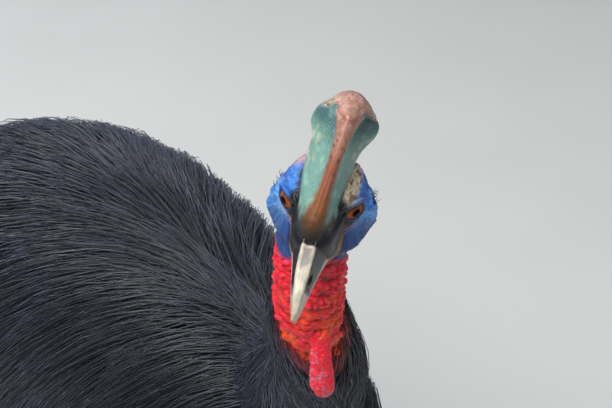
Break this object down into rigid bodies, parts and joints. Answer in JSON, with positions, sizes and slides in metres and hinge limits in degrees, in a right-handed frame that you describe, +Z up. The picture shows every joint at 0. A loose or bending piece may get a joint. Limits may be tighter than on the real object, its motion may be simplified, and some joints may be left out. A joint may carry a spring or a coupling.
{
  "type": "northern cassowary",
  "caption": "Life-size standing cassowary with a tall casque, bare folded neck, one wattle and long dark coat, its head turned aside.",
  "frame": {"origin": "on the floor, under the middle of the whole bird", "axes": "+Z up, -Y the way the bird's body heads, +X to the bird's left"},
  "size_m": [0.4496, 1.0328, 1.3522],
  "materials": {
    "plumage": "dark hair-like feathers with a blue-grey sheen",
    "quills": "bare black quills and short dark feathers",
    "red_skin": "bare, folded red skin",
    "blue_skin": "bare, finely wrinkled blue skin",
    "casque_horn": "worn horn, blue-green with a red-brown keel",
    "bill_horn": "horn, ivory along the ridge and black at the sides",
    "eye": "wet, glossy, amber with a black pupil",
    "scales": "dull scaly skin with raised plates",
    "claws": "dark horn"
  },
  "bodies": {
    "root": {"torso": "plumage", "tail": "plumage", "neck_feathered": "plumage", "neck_bare": "red_skin", "wattle": "red_skin", "head": "blue_skin", "casque": "casque_horn", "bill_upper": "bill_horn", "bill_lower": "bill_horn", "eye_left": "eye", "wing_left": "quills", "thigh_left": "plumage", "tarsus_left": "scales", "foot_left": "scales", "toe_inner_left": "scales", "claw_inner_left": "claws", "toe_middle_left": "scales", "claw_middle_left": "claws", "toe_outer_left": "scales", "claw_outer_left": "claws", "eye_right": "eye", "wing_right": "quills", "thigh_right": "plumage", "tarsus_right": "scales", "foot_right": "scales", "toe_inner_right": "scales", "claw_inner_right": "claws", "toe_middle_right": "scales", "claw_middle_right": "claws", "toe_outer_right": "scales", "claw_outer_right": "claws"}
  },
  "joints": []
}
